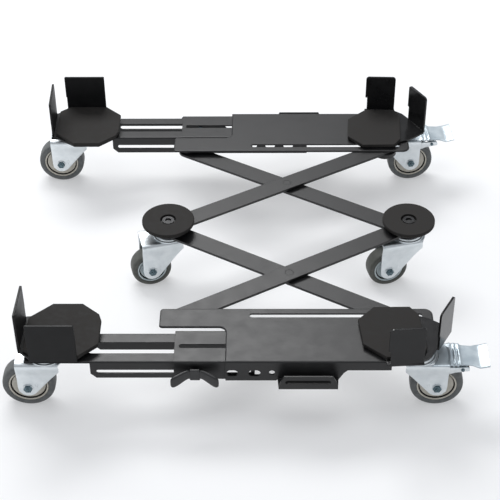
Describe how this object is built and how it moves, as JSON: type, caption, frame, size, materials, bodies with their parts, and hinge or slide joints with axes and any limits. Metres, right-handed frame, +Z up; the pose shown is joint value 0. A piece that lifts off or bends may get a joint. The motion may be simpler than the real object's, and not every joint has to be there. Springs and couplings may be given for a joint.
{
  "type": "motorcycle stand dolly",
  "caption": "Low adjustable rolling base with telescoping side rails, a scissor linkage, rubber pads with upright tabs and swivel casters, for moving a motorcycle on its stand.",
  "frame": {"origin": "centre of the overall box at floor level", "axes": "+X along the side rails towards the brake casters, +Y from the front rail towards the rear rail, +Z up"},
  "size_m": [0.6992, 0.639, 0.173],
  "materials": {
    "powder_coat": "satin",
    "pad_rubber": "matte",
    "zinc": "satin",
    "corner_tyre": "matte",
    "middle_tyre": "matte",
    "corner_hub": "matte",
    "middle_hub": "satin",
    "black_plastic": "satin",
    "fastener": "satin"
  },
  "bodies": {
    "front_rail": {"front_rail_plate": "powder_coat", "front_guide_stud": "fastener", "front_pivot_stud": "fastener", "front_right_caster_head": "zinc"},
    "arm_front_left": {"arm_front_left_to_right_disc": "powder_coat", "front_crossing_rivet": "fastener", "right_disc_plate": "powder_coat", "right_disc_pad": "pad_rubber", "right_disc_bolt": "fastener", "middle_right_caster_head": "zinc"},
    "arm_front_right": {"arm_left_disc_to_front_right": "powder_coat", "front_slide_pin": "fastener"},
    "arm_rear_right": {"arm_left_disc_to_rear_right": "powder_coat", "rear_crossing_rivet": "fastener", "left_disc_plate": "powder_coat", "left_disc_pad": "pad_rubber", "left_disc_bolt": "fastener", "middle_left_caster_head": "zinc", "rear_slide_pin": "fastener"},
    "arm_rear_left": {"arm_rear_left_to_right_disc": "powder_coat"},
    "rear_rail": {"rear_rail_plate": "powder_coat", "rear_guide_stud": "fastener", "rear_pivot_stud": "fastener", "rear_right_caster_head": "zinc"},
    "front_sleeve": {"front_sleeve": "powder_coat"},
    "front_extension": {"front_extension": "powder_coat", "front_left_foot_plate": "powder_coat", "front_left_pad": "pad_rubber", "front_left_caster_head": "zinc"},
    "front_wing_screw": {"front_wing_screw": "black_plastic"},
    "front_right_foot": {"front_right_foot_plate": "powder_coat", "front_right_pad": "pad_rubber"},
    "rear_sleeve": {"rear_sleeve": "powder_coat"},
    "rear_extension": {"rear_extension": "powder_coat", "rear_left_foot_plate": "powder_coat", "rear_left_pad": "pad_rubber", "rear_left_caster_head": "zinc"},
    "rear_wing_screw": {"rear_wing_screw": "black_plastic"},
    "rear_right_foot": {"rear_right_foot_plate": "powder_coat", "rear_right_pad": "pad_rubber"},
    "front_left_fork": {"front_left_caster_fork": "zinc"},
    "front_left_wheel": {"front_left_wheel_rim": "corner_hub", "front_left_wheel_tyre": "corner_tyre"},
    "rear_left_fork": {"rear_left_caster_fork": "zinc"},
    "rear_left_wheel": {"rear_left_wheel_rim": "corner_hub", "rear_left_wheel_tyre": "corner_tyre"},
    "front_right_fork": {"front_right_caster_fork": "zinc"},
    "front_right_wheel": {"front_right_wheel_rim": "corner_hub", "front_right_wheel_tyre": "corner_tyre"},
    "front_right_brake_pedal": {"front_right_brake_pedal": "zinc"},
    "rear_right_fork": {"rear_right_caster_fork": "zinc"},
    "rear_right_wheel": {"rear_right_wheel_rim": "corner_hub", "rear_right_wheel_tyre": "corner_tyre"},
    "rear_right_brake_pedal": {"rear_right_brake_pedal": "zinc"},
    "middle_left_fork": {"middle_left_caster_fork": "zinc"},
    "middle_left_wheel": {"middle_left_wheel_rim": "middle_hub", "middle_left_wheel_tyre": "middle_tyre"},
    "middle_right_fork": {"middle_right_caster_fork": "zinc"},
    "middle_right_wheel": {"middle_right_wheel_rim": "middle_hub", "middle_right_wheel_tyre": "middle_tyre"}
  },
  "joints": [
    {"name": "front_pivot", "type": "hinge", "parent": "front_rail", "child": "arm_front_left", "pos_m": [-0.09278, -0.20674, 0.101], "axis": [0, 0, 1], "range_deg": [-6, 42]},
    {"name": "front_crossing", "type": "hinge", "parent": "arm_front_left", "child": "arm_front_right", "pos_m": [0.06837, -0.10991, 0.097], "axis": [0, 0, 1], "range_deg": [-84, 12]},
    {"name": "left_disc_pivot", "type": "hinge", "parent": "arm_front_right", "child": "arm_rear_right", "pos_m": [-0.11455, 0, 0.097], "axis": [0, 0, 1], "range_deg": [-12, 84]},
    {"name": "rear_crossing", "type": "hinge", "parent": "arm_rear_right", "child": "arm_rear_left", "pos_m": [0.06837, 0.10991, 0.097], "axis": [0, 0, 1], "range_deg": [-84, 12]},
    {"name": "rear_pivot", "type": "hinge", "parent": "arm_rear_left", "child": "rear_rail", "pos_m": [-0.09278, 0.20674, 0.095], "axis": [0, 0, 1], "range_deg": [-6, 42]},
    {"name": "front_sleeve_slide", "type": "slide", "parent": "front_rail", "child": "front_sleeve", "axis": [-1, 0, 0], "range_m": [-0.025, 0.06]},
    {"name": "front_extension_slide", "type": "slide", "parent": "front_sleeve", "child": "front_extension", "axis": [-1, 0, 0], "range_m": [-0.075, 0.06]},
    {"name": "front_wing_screw_turn", "type": "hinge", "parent": "front_sleeve", "child": "front_wing_screw", "pos_m": [-0.06361, -0.3, 0.0824], "axis": [0, 1, 0], "continuous": true},
    {"name": "front_right_foot_swivel", "type": "hinge", "parent": "front_rail", "child": "front_right_foot", "pos_m": [0.24489, -0.266, 0.1077], "axis": [0, 0, 1], "range_deg": [-15, 15]},
    {"name": "rear_sleeve_slide", "type": "slide", "parent": "rear_rail", "child": "rear_sleeve", "axis": [-1, 0, 0], "range_m": [-0.025, 0.06]},
    {"name": "rear_extension_slide", "type": "slide", "parent": "rear_sleeve", "child": "rear_extension", "axis": [-1, 0, 0], "range_m": [-0.075, 0.06]},
    {"name": "rear_wing_screw_turn", "type": "hinge", "parent": "rear_sleeve", "child": "rear_wing_screw", "pos_m": [-0.07611, 0.3, 0.0824], "axis": [0, 1, 0], "continuous": true},
    {"name": "rear_right_foot_swivel", "type": "hinge", "parent": "rear_rail", "child": "rear_right_foot", "pos_m": [0.25089, 0.266, 0.1077], "axis": [0, 0, 1], "range_deg": [-15, 15]},
    {"name": "front_left_swivel", "type": "hinge", "parent": "front_extension", "child": "front_left_fork", "pos_m": [-0.27161, -0.266, 0.085], "axis": [0, 0, 1], "continuous": true},
    {"name": "front_left_wheel_spin", "type": "hinge", "parent": "front_left_fork", "child": "front_left_wheel", "pos_m": [-0.29961, -0.266, 0.0375], "axis": [0, -1, 0], "continuous": true},
    {"name": "rear_left_swivel", "type": "hinge", "parent": "rear_extension", "child": "rear_left_fork", "pos_m": [-0.28411, 0.266, 0.085], "axis": [0, 0, 1], "continuous": true},
    {"name": "rear_left_wheel_spin", "type": "hinge", "parent": "rear_left_fork", "child": "rear_left_wheel", "pos_m": [-0.31211, 0.266, 0.0375], "axis": [0, -1, 0], "continuous": true},
    {"name": "front_right_swivel", "type": "hinge", "parent": "front_rail", "child": "front_right_fork", "pos_m": [0.24489, -0.266, 0.085], "axis": [0, 0, 1], "continuous": true},
    {"name": "front_right_wheel_spin", "type": "hinge", "parent": "front_right_fork", "child": "front_right_wheel", "pos_m": [0.27289, -0.266, 0.0375], "axis": [0, 1, 0], "continuous": true},
    {"name": "front_right_brake_press", "type": "hinge", "parent": "front_right_fork", "child": "front_right_brake_pedal", "pos_m": [0.30489, -0.266, 0.078], "axis": [0, 1, 0], "range_deg": [0, 5]},
    {"name": "rear_right_swivel", "type": "hinge", "parent": "rear_rail", "child": "rear_right_fork", "pos_m": [0.25089, 0.266, 0.085], "axis": [0, 0, 1], "continuous": true},
    {"name": "rear_right_wheel_spin", "type": "hinge", "parent": "rear_right_fork", "child": "rear_right_wheel", "pos_m": [0.27878, 0.26844, 0.0375], "axis": [-0.0872, 0.9962, 0], "continuous": true},
    {"name": "rear_right_brake_press", "type": "hinge", "parent": "rear_right_fork", "child": "rear_right_brake_pedal", "pos_m": [0.31066, 0.27123, 0.078], "axis": [-0.0872, 0.9962, 0], "range_deg": [0, 5]},
    {"name": "middle_left_swivel", "type": "hinge", "parent": "arm_rear_right", "child": "middle_left_fork", "pos_m": [-0.11455, 0, 0.085], "axis": [0, 0, 1], "continuous": true},
    {"name": "middle_left_wheel_spin", "type": "hinge", "parent": "middle_left_fork", "child": "middle_left_wheel", "pos_m": [-0.14463, -0.0075, 0.031], "axis": [0.2419, -0.9703, 0], "continuous": true},
    {"name": "middle_right_swivel", "type": "hinge", "parent": "arm_front_left", "child": "middle_right_fork", "pos_m": [0.25129, 0, 0.085], "axis": [0, 0, 1], "continuous": true},
    {"name": "middle_right_wheel_spin", "type": "hinge", "parent": "middle_right_fork", "child": "middle_right_wheel", "pos_m": [0.22121, -0.0075, 0.031], "axis": [0.2419, -0.9703, 0], "continuous": true}
  ],
  "couplings": [
    {"joint": "front_crossing", "follows": "front_pivot", "ratio": -2},
    {"joint": "left_disc_pivot", "follows": "front_pivot", "ratio": 2},
    {"joint": "rear_crossing", "follows": "front_pivot", "ratio": -2},
    {"joint": "rear_pivot", "follows": "front_pivot", "ratio": 1}
  ]
}
